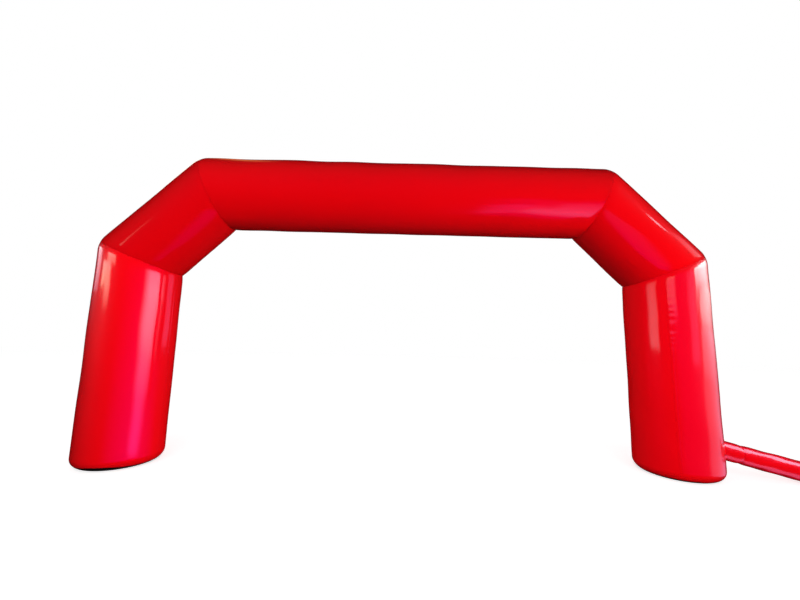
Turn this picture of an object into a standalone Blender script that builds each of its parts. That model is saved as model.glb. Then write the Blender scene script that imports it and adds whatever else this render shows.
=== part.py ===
"""An inflatable start and finish arch, 8 m wide and 4 m high, standing on its two feet.

The arch is one air-filled tube sewn from five cut lengths: two legs, two slanting shoulders and
a top beam. They meet at four mitred seams, where the coated cloth is drawn in a little and the
sharp outer corner is pulled round. Each foot is closed by a dished base panel with a rounded
edge. A cloth sleeve for the blower is sewn to a short stub on the right leg, slopes down to the
floor and ends in an open mouth.

The front of the arch faces -Y. The origin lies on the floor, under the middle of the whole part
with its sleeve, so the middle of the gateway is a little way along -X from it.
"""

from math import cos, pi, radians, sin, sqrt, tan

import bpy
import numpy as np

# The arch, measured over its outside.
OUTER_WIDTH = 8.0
OUTER_HEIGHT = 4.0
TUBE_DIAMETER = 0.95
SHOULDER_STEP = 0.94

# Seams and feet.
SEAM_DRAW = 0.006
CORNER_DRAW = 0.021
CORNER_NARROWING = 3
SEAM_REACH = 0.10
FOOT_EDGE_RADIUS = 0.12
BASE_HEIGHT = 0.03
PIECE_GAP = 0.0003

# The blower's sleeve and the stub that joins it to the right leg.
SLEEVE_RADIUS = 0.115
SLEEVE_WALL = 0.003
SLEEVE_START_HEIGHT = 0.322
SLEEVE_HEADING = radians(14.0)
SLEEVE_SLOPE = 0.236
SLEEVE_SETTLING = 0.35
SLEEVE_REACH = 1.46
SLEEVE_DRAW = 0.008
SLEEVE_DRAW_REACH = 0.06
STUB_LENGTH = 0.20
STUB_FLARE = 0.012
STUB_FLARE_REACH = 0.07
STUB_LEG_GAP = 0.0015

# How finely the round pieces are divided.
TUBE_SIDES = 48
SEAM_RINGS = 5
FOOT_RINGS = 6
BASE_RINGS = 4
SLEEVE_SIDES = 24

# What follows from the sizes above.
TUBE_RADIUS = TUBE_DIAMETER / 2
HALF_SPAN = OUTER_WIDTH / 2 - TUBE_RADIUS
TOP_HEIGHT = OUTER_HEIGHT - TUBE_RADIUS
HALF_TOP = HALF_SPAN - SHOULDER_STEP
CORNER_HEIGHT = TOP_HEIGHT - SHOULDER_STEP
SHOULDER_LENGTH = SHOULDER_STEP * sqrt(2)
MITRE_ANGLE = radians(22.5)
SLEEVE_START_X = HALF_SPAN + TUBE_RADIUS * cos(SLEEVE_HEADING)
SLEEVE_START_Y = -TUBE_RADIUS * sin(SLEEVE_HEADING)
SLEEVE_END_X = SLEEVE_START_X + SLEEVE_REACH
SLEEVE_REST_HEIGHT = SLEEVE_RADIUS * cos(pi / SLEEVE_SIDES)
ORIGIN_SHIFT = -(SLEEVE_END_X - OUTER_WIDTH / 2) / 2

RED = (0.72, 0.004, 0.012)
DARK_RED = (0.55, 0.003, 0.010)
BLACK = (0.012, 0.012, 0.014)


def clear_scene():
    """Remove every object that the scene starts with."""
    for item in list(bpy.data.objects):
        bpy.data.objects.remove(item, do_unlink=True)


def make_collection(name):
    """Add a collection to the scene and return it."""
    collection = bpy.data.collections.new(name)
    bpy.context.scene.collection.children.link(collection)
    return collection


def make_material(name, colour, roughness):
    """Return a coated-cloth material of one colour."""
    material = bpy.data.materials.new(name)
    material.use_nodes = True
    shader = material.node_tree.nodes["Principled BSDF"]
    shader.inputs["Base Color"].default_value = (*colour, 1.0)
    shader.inputs["Roughness"].default_value = roughness
    shader.inputs["Metallic"].default_value = 0.0
    material.diffuse_color = (*colour, 1.0)
    return material


def add_piece(name, mesh, material, collection, origin):
    """Wrap a mesh in an object of its own under the arch's origin."""
    if not mesh.materials:
        mesh.materials.append(material)
    piece = bpy.data.objects.new(name, mesh)
    collection.objects.link(piece)
    piece.parent = origin
    return piece


def ring_angles(sides, turn=0.0):
    """Return evenly spaced angles round a ring, the first one turned by the given angle."""
    return turn + np.arange(sides) * (2 * pi / sides)


def mitre_end(angles):
    """Return the rings of a mitred end, from the seam inwards.

    Each ring is a pair of arrays: how far it lies inside the section's end node, and its radius.
    The cut is longer on the outside of the bend. The draw falls off as the square of the way
    left to the end of its reach, and is strongest at the outer corner.
    """
    outside = (0.5 + 0.5 * np.cos(angles)) ** CORNER_NARROWING
    draw = SEAM_DRAW + (CORNER_DRAW - SEAM_DRAW) * outside
    overrun = (TUBE_RADIUS - draw) * tan(MITRE_ANGLE) * np.cos(angles)
    inset = PIECE_GAP / 2 / cos(MITRE_ANGLE) - overrun
    rings = []
    for step in range(SEAM_RINGS + 1):
        share = step / SEAM_RINGS
        rings.append((inset + share * SEAM_REACH, TUBE_RADIUS - draw * (1 - share) ** 2))
    return rings


def foot_end(angles):
    """Return the rings of a foot, from the base panel's seam up its rounded edge."""
    low = np.arcsin((FOOT_EDGE_RADIUS - BASE_HEIGHT - PIECE_GAP) / FOOT_EDGE_RADIUS)
    rings = []
    for step in range(FOOT_RINGS + 1):
        below = low * (1 - step / FOOT_RINGS)
        height = FOOT_EDGE_RADIUS * (1 - sin(below))
        radius = TUBE_RADIUS - FOOT_EDGE_RADIUS * (1 - cos(below))
        rings.append((np.full_like(angles, height), np.full_like(angles, radius)))
    return rings


def loft(name, rings, close_ends):
    """Skin a row of rings, each an array of points, with quads that face outwards."""
    sides = len(rings[0])
    points = [tuple(point) for ring in rings for point in ring]
    faces = []
    for row in range(len(rings) - 1):
        for side in range(sides):
            near = row * sides
            after = (side + 1) % sides
            faces.append((near + side, near + after, near + sides + after, near + sides + side))
    if close_ends:
        last = (len(rings) - 1) * sides
        faces.append(tuple(reversed(range(sides))))
        faces.append(tuple(range(last, last + sides)))
    mesh = bpy.data.meshes.new(name)
    mesh.from_pydata(points, [], faces)
    mesh.shade_smooth()
    mesh.set_sharp_from_angle(angle=radians(35.0))
    mesh.validate()
    return mesh


def tube_section(name, length, start, end):
    """Return an air-filled length of tube as one closed solid.

    Its axis is local Z and the outside of the arch's bend is local +X. The start and the end
    are each a function that gives that end's rings.
    """
    angles = ring_angles(TUBE_SIDES)
    stations = start(angles)
    stations += [(length - inset, radius) for inset, radius in reversed(end(angles))]
    rings = [
        np.column_stack((radius * np.cos(angles), radius * np.sin(angles), height))
        for height, radius in stations
    ]
    return loft(name, rings, close_ends=True)


def base_profile():
    """Return the base panel's half outline, from its axis out over the top and down the edge."""
    low = np.arcsin((FOOT_EDGE_RADIUS - BASE_HEIGHT) / FOOT_EDGE_RADIUS)
    outline = [(0.0, BASE_HEIGHT)]
    for step in range(BASE_RINGS + 1):
        below = low + (pi / 2 - low) * step / BASE_RINGS
        across = TUBE_RADIUS - FOOT_EDGE_RADIUS * (1 - cos(below))
        outline.append((across, FOOT_EDGE_RADIUS * (1 - sin(below))))
    outline.append((0.0, 0.0))
    return outline


def base_mesh(name):
    """Return the base panel's outline as a line of edges, ready to be turned."""
    outline = base_profile()
    mesh = bpy.data.meshes.new(name)
    points = [(across, 0.0, height) for across, height in outline]
    edges = [(index, index + 1) for index in range(len(outline) - 1)]
    mesh.from_pydata(points, edges, [])
    return mesh


def turn_base(piece):
    """Turn the base panel's outline about its axis into a solid."""
    screw = piece.modifiers.new("Turn", "SCREW")
    screw.axis = "Z"
    screw.steps = TUBE_SIDES
    screw.render_steps = TUBE_SIDES
    screw.use_merge_vertices = True
    screw.merge_threshold = 0.0001


def sleeve_ramp(x):
    """Return how much of the slope down to the floor is left at a place along the sleeve.

    It falls evenly, then as a square over the settling length, and is nothing on the floor.
    """
    drop = (SLEEVE_START_HEIGHT - SLEEVE_REST_HEIGHT) / SLEEVE_SLOPE
    landing = SLEEVE_START_X + drop + SLEEVE_SETTLING / 2
    left = max(landing - x, 0.0)
    if left > SLEEVE_SETTLING:
        return left - SLEEVE_SETTLING / 2
    return left * left / (2 * SLEEVE_SETTLING)


def sleeve_centre(x):
    """Return the point of the sleeve's centre line at a place along X."""
    heading_drop = tan(SLEEVE_HEADING) * (sleeve_ramp(SLEEVE_START_X) - sleeve_ramp(x))
    height = SLEEVE_REST_HEIGHT + SLEEVE_SLOPE * sleeve_ramp(x)
    return np.array((x, SLEEVE_START_Y - heading_drop, height))


def sleeve_ring(x, radius):
    """Return a ring of the sleeve, square to its centre line, with a flat side underneath."""
    step = 0.001
    along = sleeve_centre(x + step) - sleeve_centre(x - step)
    along /= np.linalg.norm(along)
    across = np.cross((0.0, 0.0, 1.0), along)
    across /= np.linalg.norm(across)
    upward = np.cross(along, across)
    angles = ring_angles(SLEEVE_SIDES, pi / SLEEVE_SIDES)
    turned = np.outer(np.cos(angles), across) + np.outer(np.sin(angles), upward)
    return sleeve_centre(x) + radius * turned


def ring_on_leg(ring, along):
    """Slide a ring's points along the sleeve's direction until each meets the right leg."""
    reach = TUBE_RADIUS + STUB_LEG_GAP
    landed = []
    for point in ring:
        offset = point[:2] - np.array((HALF_SPAN, 0.0))
        slope = along[:2]
        square = slope @ slope
        half = offset @ slope
        travel = (-half + sqrt(half * half - square * (offset @ offset - reach * reach))) / square
        landed.append(point + travel * along)
    return np.array(landed)


def drawn_radius(distance):
    """Return the sleeve's radius near the seam between stub and sleeve."""
    share = max(1 - distance / SLEEVE_DRAW_REACH, 0.0)
    return SLEEVE_RADIUS - SLEEVE_DRAW * share * share


def stub_mesh(name):
    """Return the stub's outer surface, from the leg's wall to the seam with the sleeve."""
    along = sleeve_centre(SLEEVE_START_X + 0.001) - sleeve_centre(SLEEVE_START_X)
    along /= np.linalg.norm(along)
    seam_x = SLEEVE_START_X + STUB_LENGTH
    first = sleeve_ring(SLEEVE_START_X, SLEEVE_RADIUS + STUB_FLARE)
    rings = [ring_on_leg(first, along)]
    for share in (0.25, 0.45, 0.70, 0.85, 1.0):
        x = SLEEVE_START_X + STUB_LENGTH * share
        left = max(1 - STUB_LENGTH * share / STUB_FLARE_REACH, 0.0)
        radius = drawn_radius(seam_x - x) + STUB_FLARE * left * left
        rings.append(sleeve_ring(x, radius))
    return loft(name, rings, close_ends=False)


def sleeve_mesh(name):
    """Return the sleeve's outer surface, from its seam with the stub to its open mouth."""
    seam_x = SLEEVE_START_X + STUB_LENGTH + PIECE_GAP
    landing = SLEEVE_START_X + (SLEEVE_START_HEIGHT - SLEEVE_REST_HEIGHT) / SLEEVE_SLOPE
    places = [seam_x + SLEEVE_DRAW_REACH * share for share in (0.0, 0.25, 0.6, 1.0)]
    settling = np.linspace(-0.5, 0.5, 7) * SLEEVE_SETTLING
    places += [landing + offset for offset in settling]
    places.append(SLEEVE_END_X)
    rings = [sleeve_ring(x, drawn_radius(x - seam_x)) for x in places]
    return loft(name, rings, close_ends=False)


def give_wall(piece):
    """Give an open surface the thickness of the coated cloth, inwards."""
    solidify = piece.modifiers.new("Wall", "SOLIDIFY")
    solidify.thickness = SLEEVE_WALL
    solidify.offset = -1.0
    solidify.use_even_offset = True


def build_tube(collection, origin, material):
    """Build the two legs, the two shoulders and the beam."""
    leg = tube_section("leg", CORNER_HEIGHT, foot_end, mitre_end)
    shoulder = tube_section("shoulder", SHOULDER_LENGTH, mitre_end, mitre_end)
    beam = tube_section("beam", 2 * HALF_TOP, mitre_end, mitre_end)
    for side, direction, turn in (("left", -1, pi), ("right", 1, 0.0)):
        piece = add_piece(f"leg_{side}", leg, material, collection, origin)
        piece.location = (direction * HALF_SPAN, 0.0, 0.0)
        piece.rotation_euler = (0.0, 0.0, turn)
        piece = add_piece(f"shoulder_{side}", shoulder, material, collection, origin)
        piece.location = (direction * HALF_SPAN, 0.0, CORNER_HEIGHT)
        piece.rotation_euler = (0.0, -pi / 4, turn)
    piece = add_piece("top_beam", beam, material, collection, origin)
    piece.location = (HALF_TOP, 0.0, TOP_HEIGHT)
    piece.rotation_euler = (0.0, -pi / 2, 0.0)


def build_bases(collection, origin, material):
    """Build the base panel under each foot."""
    mesh = base_mesh("base")
    for side, direction in (("left", -1), ("right", 1)):
        piece = add_piece(f"base_{side}", mesh, material, collection, origin)
        piece.location = (direction * HALF_SPAN, 0.0, 0.0)
        turn_base(piece)


def build_sleeve(collection, origin, stub_material, sleeve_material):
    """Build the blower's sleeve and the stub that joins it to the right leg."""
    stub = add_piece("sleeve_stub", stub_mesh("stub"), stub_material, collection, origin)
    give_wall(stub)
    mesh = sleeve_mesh("sleeve")
    sleeve = add_piece("blower_sleeve", mesh, sleeve_material, collection, origin)
    give_wall(sleeve)


def main():
    """Build the whole arch."""
    clear_scene()
    collection = make_collection("inflatable_arch")
    origin = bpy.data.objects.new("arch_origin", None)
    origin.location = (ORIGIN_SHIFT, 0.0, 0.0)
    collection.objects.link(origin)
    red = make_material("arch_red", RED, 0.22)
    dark_red = make_material("stub_red", DARK_RED, 0.25)
    black = make_material("base_black", BLACK, 0.5)
    build_tube(collection, origin, red)
    build_bases(collection, origin, black)
    build_sleeve(collection, origin, dark_red, red)


main()
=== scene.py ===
"""Dresses the inflatable arch: coated cloth, sewn seams, base panels and the blower's sleeve.

Lengths are in metres. The front of the arch faces -Y. The tube is followed from the left foot up
and over to the right foot, and a place round it is an angle that starts on the outside of the
arch's bend and grows towards the front.
"""

import logging
from dataclasses import dataclass, field
from enum import Enum
from math import cos, pi, prod, radians, sin, sqrt, tan

import bpy
import numpy as np
from mathutils import Matrix, Vector


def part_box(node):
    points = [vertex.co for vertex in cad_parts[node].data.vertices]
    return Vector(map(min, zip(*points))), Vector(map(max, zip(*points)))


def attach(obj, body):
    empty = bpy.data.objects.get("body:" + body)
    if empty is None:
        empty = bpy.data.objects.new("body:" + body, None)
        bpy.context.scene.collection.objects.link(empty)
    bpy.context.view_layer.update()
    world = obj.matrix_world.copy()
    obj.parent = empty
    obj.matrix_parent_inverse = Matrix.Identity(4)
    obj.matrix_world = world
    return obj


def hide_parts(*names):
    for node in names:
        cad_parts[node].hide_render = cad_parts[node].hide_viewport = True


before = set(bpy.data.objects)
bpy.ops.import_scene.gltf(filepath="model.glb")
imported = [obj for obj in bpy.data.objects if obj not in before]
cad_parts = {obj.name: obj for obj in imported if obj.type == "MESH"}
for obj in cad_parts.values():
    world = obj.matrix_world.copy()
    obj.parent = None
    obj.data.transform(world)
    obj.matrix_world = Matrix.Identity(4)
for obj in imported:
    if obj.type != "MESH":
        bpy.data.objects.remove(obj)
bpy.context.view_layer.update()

LOG = logging.getLogger("arch")
BODY = "root"
FULL_TURN = 2 * pi
UP = np.array((0.0, 0.0, 1.0))
FRONT = np.array((0.0, -1.0, 0.0))
# The gap that two touching pieces keep.
PIECE_GAP = 0.0003
# The steps that a running sum is taken over.
FINE_STEPS = 4000
# Edges that bend more than this are drawn sharp.
SHARP_ANGLE = radians(40.0)
# The distance that a point with no seam near it has as its distance from one.
NO_SEAM = 1.0


class End(Enum):
    """How a length of tube ends."""

    MITRE = "sewn to the next length at a mitred seam"
    FOOT = "closed by a base panel on the floor"


class Purpose(Enum):
    """What a softbox is there for."""

    SHAPING = "lights the cloth and stays out of its gloss"
    GLOSS = "is seen only as a reflection in the gloss"


class Easing(Enum):
    """How a value goes from one level to another, by the name that the node has for it."""

    LINEAR = "evenly"
    SMOOTHSTEP = "slowly at both ends"


def crowded(count: int, length: float, places: tuple[float, ...], width: float, gain: float,
            around: bool = False) -> np.ndarray:
    """Divide a length so that the steps are short near some places.

    The density is one plus the gain times a bell curve over each place. The divisions are read
    off the running sum of the density at equal steps.

    Args:
        count: The number of steps.
        length: The length that is divided.
        places: Where the steps are short.
        width: The bell curve's reach on each side of a place.
        gain: How many times denser the steps get at a place.
        around: Whether the length closes on itself.

    Returns:
        The divisions, from nothing to the whole length.
    """
    fine = np.linspace(0.0, length, FINE_STEPS + 1)
    density = np.ones_like(fine)
    for place in places:
        away = fine - place
        if around:
            away = (away + length / 2) % length - length / 2
        density += gain * np.exp(-((away / width) ** 2))
    running = np.concatenate(([0.0], np.cumsum((density[1:] + density[:-1]) / 2)))
    return np.interp(np.linspace(0.0, running[-1], count + 1), running, fine)


def eased(value: np.ndarray, low: float, high: float) -> np.ndarray:
    """Return 0 below low, 1 above high and three squares less two cubes of the share between."""
    share = np.clip((value - low) / (high - low), 0.0, 1.0)
    return share * share * (3 - 2 * share)


@dataclass
class Skin:
    """A surface on a grid of points that closes on itself across each row.

    Attributes:
        points: Points by row and column. The last column repeats the first.
        cloth: Where each point lies on the flat cloth, across and along, in metres.
        marks: Values that the finish reads, by name, one for each point.
        first_pole: A point that closes the surface before the first row.
        last_pole: A point that closes the surface after the last row.
        loops_back: Whether the last row joins the first one.
    """

    points: np.ndarray
    cloth: np.ndarray
    marks: dict[str, np.ndarray] = field(default_factory=dict)
    first_pole: np.ndarray | None = None
    last_pole: np.ndarray | None = None
    loops_back: bool = False

    def corners(self) -> tuple[np.ndarray, np.ndarray]:
        """Return each quad's four corners as places in the grid, by row and by column.

        The corners go round against the clock as seen from outside: along the row, up to the
        next row and back.

        Returns:
            The rows and the columns, each with four entries a quad.
        """
        rows, columns = self.points.shape[:2]
        steps = rows if self.loops_back else rows - 1
        row, column = np.meshgrid(np.arange(steps), np.arange(columns - 1), indexing="ij")
        row, column = row.ravel(), column.ravel()
        above = (row + 1) % rows
        return (
            np.column_stack((row, row, above, above)),
            np.column_stack((column, column + 1, column + 1, column)),
        )

    def fan(self, row: int, pole: int, backwards: bool) -> tuple[np.ndarray, np.ndarray]:
        """Work out the triangles between a row and the pole that closes it.

        Args:
            row: The row.
            pole: The pole's number among the vertices.
            backwards: Whether the triangles run against the row, as they do before the first one.

        Returns:
            The triangles' vertices and their places on the flat cloth.
        """
        across = self.points.shape[1] - 1
        here = np.arange(across)
        after = (here + 1) % across
        first, second = (after, here) if backwards else (here, after)
        centre = np.full(across, pole)
        vertices = np.column_stack((centre, row * across + first, row * across + second))
        middle = self.cloth[row, :across].mean(0)[None].repeat(across, 0)
        places = np.column_stack((middle, self.cloth[row, first], self.cloth[row, second]))
        return vertices.ravel(), places.reshape(-1, 2)

    def mesh(self, name: str) -> bpy.types.Mesh:
        """Make the surface a mesh with its cloth map and its marks.

        Args:
            name: The mesh's name.

        Returns:
            The mesh, smooth, with faces that point outwards.
        """
        rows, columns = self.points.shape[:2]
        across = columns - 1
        own = self.points[:, :across].reshape(-1, 3)
        corner_row, corner_column = self.corners()
        loops = (corner_row * across + corner_column % across).ravel()
        flat = self.cloth[corner_row, corner_column].reshape(-1, 2)
        sizes = np.full(len(corner_row), 4)
        poles = []
        for pole, row in ((self.first_pole, 0), (self.last_pole, rows - 1)):
            if pole is None:
                continue
            vertices, places = self.fan(row, len(own) + len(poles), backwards=row == 0)
            loops = np.concatenate((loops, vertices))
            flat = np.concatenate((flat, places))
            sizes = np.concatenate((sizes, np.full(across, 3)))
            poles.append(pole)
        own = np.concatenate((own, np.array(poles).reshape(-1, 3)))
        mesh = bpy.data.meshes.new(name)
        mesh.vertices.add(len(own))
        mesh.vertices.foreach_set("co", own.astype(np.float32).ravel())
        mesh.loops.add(len(loops))
        mesh.loops.foreach_set("vertex_index", loops.astype(np.int32))
        mesh.polygons.add(len(sizes))
        starts = np.concatenate(([0], np.cumsum(sizes)[:-1]))
        mesh.polygons.foreach_set("loop_start", starts.astype(np.int32))
        mesh.update(calc_edges=True)
        layer = mesh.uv_layers.new(name="cloth")
        layer.data.foreach_set("uv", flat.astype(np.float32).ravel())
        for mark, values in self.marks.items():
            values = np.concatenate((values[:, :across].ravel(), np.full(len(poles), NO_SEAM)))
            attribute = mesh.attributes.new(mark, "FLOAT", "POINT")
            attribute.data.foreach_set("value", values.astype(np.float32))
        mesh.shade_smooth()
        mesh.set_sharp_from_angle(angle=SHARP_ANGLE)
        mesh.validate()
        return mesh


def add_piece(name: str, mesh: bpy.types.Mesh, material: bpy.types.Material) -> bpy.types.Object:
    """Wrap a mesh in an object at the origin that rides on the arch.

    Args:
        name: The piece's name.
        mesh: The piece's mesh, already in its place.
        material: The piece's finish.

    Returns:
        The new object.
    """
    mesh.materials.append(material)
    piece = bpy.data.objects.new(name, mesh)
    bpy.context.scene.collection.objects.link(piece)
    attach(piece, BODY)
    LOG.info("%s: %d faces", name, len(mesh.polygons))
    return piece


class Number:
    """A number's socket in a node tree, which Python's operators can be used on."""

    def __init__(self, kit: "NodeKit", socket: bpy.types.NodeSocket) -> None:
        self.kit = kit
        self.socket = socket

    def apply(self, operation: str, *terms: "Number | float") -> "Number":
        """Add a Math node.

        Args:
            operation: The Math node's operation.
            *terms: What it works on, in its sockets' order.

        Returns:
            The node's result.
        """
        node = self.kit.node("ShaderNodeMath", {"operation": operation}, dict(enumerate(terms)))
        return Number(self.kit, node.outputs[0])

    def __add__(self, other: "Number | float") -> "Number":
        """Return the sum."""
        return self.apply("ADD", self, other)

    def __radd__(self, other: float) -> "Number":
        """Return the sum, with the plain number first."""
        return self.apply("ADD", other, self)

    def __sub__(self, other: "Number | float") -> "Number":
        """Return the difference."""
        return self.apply("SUBTRACT", self, other)

    def __rsub__(self, other: float) -> "Number":
        """Return the plain number less this one."""
        return self.apply("SUBTRACT", other, self)

    def __mul__(self, other: "Number | float") -> "Number":
        """Return the product."""
        return self.apply("MULTIPLY", self, other)

    def __rmul__(self, other: float) -> "Number":
        """Return the product, with the plain number first."""
        return self.apply("MULTIPLY", other, self)

    def __truediv__(self, other: "Number | float") -> "Number":
        """Return the quotient."""
        return self.apply("DIVIDE", self, other)

    def __abs__(self) -> "Number":
        """Return the size without its sign."""
        return self.apply("ABSOLUTE", self)

    def sine(self) -> "Number":
        """Return the sine of an angle in radians."""
        return self.apply("SINE", self)

    def fraction(self) -> "Number":
        """Return what is left above the whole number."""
        return self.apply("FRACT", self)

    def mapped(self, start: float, end: float, low: float, high: float, easing: Easing) -> "Number":
        """Return a value that goes from low to high as this one goes from start to end.

        Args:
            start: Where the value is still low.
            end: Where it has become high.
            low: The value at the start and before it.
            high: The value at the end and past it.
            easing: How it goes from one to the other.

        Returns:
            The new value.
        """
        node = self.kit.node(
            "ShaderNodeMapRange",
            {"interpolation_type": easing.name},
            {"Value": self, "From Min": start, "From Max": end, "To Min": low, "To Max": high},
        )
        return Number(self.kit, node.outputs[0])

    def below(self, limit: float, softness: float) -> "Number":
        """Return 1 below a limit and 0 above it, falling over the softness under the limit."""
        return self.mapped(limit - softness, limit, 1.0, 0.0, Easing.SMOOTHSTEP)


class NodeKit:
    """Builds the nodes of one node tree."""

    def __init__(self, tree: bpy.types.NodeTree) -> None:
        """Keep the tree that the nodes go into."""
        self.tree = tree

    def node(self, kind: str, settings: dict, inputs: dict) -> bpy.types.Node:
        """Add a node.

        Args:
            kind: The node's type.
            settings: Its settings, set before its sockets.
            inputs: A value or a link for each socket, by name or place.

        Returns:
            The node.
        """
        node = self.tree.nodes.new(kind)
        for key, value in settings.items():
            setattr(node, key, value)
        for key, value in inputs.items():
            self.feed(node.inputs[key], value)
        return node

    def feed(self, socket: bpy.types.NodeSocket, value: object) -> None:
        """Link a socket, or set its value.

        Args:
            socket: The socket.
            value: A number's socket, another socket or a plain value.
        """
        source = value.socket if isinstance(value, Number) else value
        if isinstance(source, bpy.types.NodeSocket):
            self.tree.links.new(source, socket)
        else:
            socket.default_value = source

    def blend(self, share: Number, low: tuple, high: tuple) -> bpy.types.NodeSocket:
        """Return a colour between two colours or sockets.

        Args:
            share: How much of the second colour there is.
            low: The first colour.
            high: The second colour.

        Returns:
            The colour's socket.
        """
        mix = self.node("ShaderNodeMix", {"data_type": "RGBA"}, {"Factor": share})
        inputs = {socket.identifier: socket for socket in mix.inputs}
        self.feed(inputs["A_Color"], low)
        self.feed(inputs["B_Color"], high)
        return next(socket for socket in mix.outputs if socket.identifier == "Result_Color")


class FinishKit(NodeKit):
    """Builds the nodes of one material."""

    def __init__(self, name: str) -> None:
        """Start a material with a Principled shader.

        Args:
            name: The material's name.
        """
        self.material = bpy.data.materials.new(name)
        self.material.use_nodes = True
        super().__init__(self.material.node_tree)
        self.shader = self.tree.nodes["Principled BSDF"]

    def cloth_place(self) -> tuple[Number, Number]:
        """Read where a point lies on the flat cloth.

        Returns:
            The place across and the place along.
        """
        place = self.node("ShaderNodeUVMap", {"uv_map": "cloth"}, {})
        parts = self.node("ShaderNodeSeparateXYZ", {}, {0: place.outputs[0]})
        return Number(self, parts.outputs[0]), Number(self, parts.outputs[1])

    def mark(self, name: str) -> Number:
        """Return a value that the mesh carries."""
        return Number(self, self.node("ShaderNodeAttribute", {"attribute_name": name}, {}).outputs["Fac"])

    def noise(self, scale: float, detail: float) -> Number:
        """Return soft noise over the object's own coordinates.

        Args:
            scale: The number of patches a metre.
            detail: The number of finer octaves.

        Returns:
            Noise from 0 to 1.
        """
        place = self.node("ShaderNodeTexCoord", {}, {}).outputs["Object"]
        noise = self.node("ShaderNodeTexNoise", {}, {"Vector": place, "Scale": scale, "Detail": detail})
        return Number(self, noise.outputs["Fac"])


@dataclass(frozen=True)
class Stitching:
    """Rows of lockstitch beside a seam.

    Attributes:
        offsets: How far each row lies from the seam.
        length: One stitch with the gap after it.
        gap: The share of that length that is a gap.
        width: The thread's width on the cloth.
        rise: How proud of the cloth the thread stands.
    """

    offsets: tuple[float, ...] = (0.008, 0.016)
    length: float = 0.005
    gap: float = 0.22
    width: float = 0.0012
    rise: float = 0.0004

    def mask(self, off: Number, along: Number) -> Number:
        """Return 1 on the thread: near a row, and not in the gap between two stitches.

        Args:
            off: The distance from the seam.
            along: The place along the seam.

        Returns:
            The mask.
        """
        rows = sum(
            (abs(off - offset).below(self.width, self.width / 2) for offset in self.offsets), 0.0
        )
        return rows * (1 - (along / self.length).fraction().below(self.gap, self.gap / 3))


@dataclass(frozen=True)
class CoatedCloth:
    """Glossy coated cloth: a woven core under a smooth coloured coating.

    Attributes:
        name: The material's name.
        colour: The coating's colour.
        worn_colour: Its colour where it is rubbed or dusty.
        crease_shade_and_thread_colour: A darker colour: painted shade in the crease of a seam, and the
            colour of the thread.
        sheen_tint: The tint that the colour gives to the broad part of the gloss.
        roughness: The broad part's roughness.
        gloss: The weight of the clear top coat.
        gloss_roughness: The top coat's roughness.
        index: The refractive index of the coating and the top coat.
        thread_pitch: The weave's pitch.
        thread_rise: How far the weave shows through.
        peel_scale: The number of bumps a metre in the coating's faint orange peel.
        peel_rise: How proud those bumps stand.
        patch_scale: The number of worn patches a metre.
        patch_wear: How much of the worn colour a patch takes.
        patch_roughness: How far the roughness differs between patches.
        crease_width: How far from a seam its crease reaches.
        crease_softness: The width over which the crease fades.
        crease_shade: How much of that darker colour the crease takes, as painted shade.
        crease_dulling: How much of the top coat the crease loses.
        stitch_shade: How much of that darker colour the thread takes.
        stitching: The rows of thread.
    """

    name: str
    colour: tuple[float, float, float, float]
    worn_colour: tuple[float, float, float, float]
    crease_shade_and_thread_colour: tuple[float, float, float, float]
    sheen_tint: tuple[float, float, float, float]
    roughness: float = 0.42
    gloss: float = 1.0
    gloss_roughness: float = 0.10
    index: float = 1.5
    thread_pitch: float = 0.0012
    thread_rise: float = 0.00002
    peel_scale: float = 55.0
    peel_rise: float = 0.00010
    patch_scale: float = 1.3
    patch_wear: float = 0.35
    patch_roughness: float = 0.12
    crease_width: float = 0.010
    crease_softness: float = 0.009
    crease_shade: float = 0.3
    crease_dulling: float = 0.3
    stitch_shade: float = 0.5
    stitching: Stitching = Stitching()

    def material(self) -> bpy.types.Material:
        """Build the finish.

        The weave's height is the product of a sine across the cloth and one along it. The peel,
        the patches, the crease and the thread are added to it or mixed into the colour; the crease's darker
        colour is painted shade.

        Returns:
            The material.
        """
        kit = FinishKit(self.name)
        across, along = kit.cloth_place()
        off_seam = kit.mark("off_seam")
        off_lap = kit.mark("off_lap")
        thread = FULL_TURN / self.thread_pitch
        weave = (across * thread).sine() * (along * thread).sine()
        peel = kit.noise(self.peel_scale, 2.0)
        patches = kit.noise(self.patch_scale, 3.0)
        stitches = self.stitching.mask(off_seam, across) + self.stitching.mask(abs(off_lap), along)
        crease = off_seam.below(self.crease_width, self.crease_softness)
        colour = kit.blend(patches * self.patch_wear, self.colour, self.worn_colour)
        # Painted shade: the colour darkens towards the darker colour in the crease beside each seam.
        colour = kit.blend(crease * self.crease_shade, colour, self.crease_shade_and_thread_colour)
        colour = kit.blend(stitches * self.stitch_shade, colour, self.crease_shade_and_thread_colour)
        height = weave * self.thread_rise + peel * self.peel_rise + stitches * self.stitching.rise
        bump = kit.node("ShaderNodeBump", {}, {"Height": height, "Distance": 1.0, "Strength": 1.0})
        roughness = patches * self.patch_roughness + (self.roughness - self.patch_roughness / 2)
        sockets = kit.shader.inputs
        kit.feed(sockets["Base Color"], colour)
        kit.feed(sockets["Roughness"], roughness)
        kit.feed(sockets["Normal"], bump.outputs[0])
        kit.feed(sockets["Coat Weight"], self.gloss - crease * self.crease_dulling)
        sockets["Coat Roughness"].default_value = self.gloss_roughness
        sockets["Coat IOR"].default_value = self.index
        sockets["IOR"].default_value = self.index
        sockets["Specular Tint"].default_value = self.sheen_tint
        return kit.material


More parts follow.
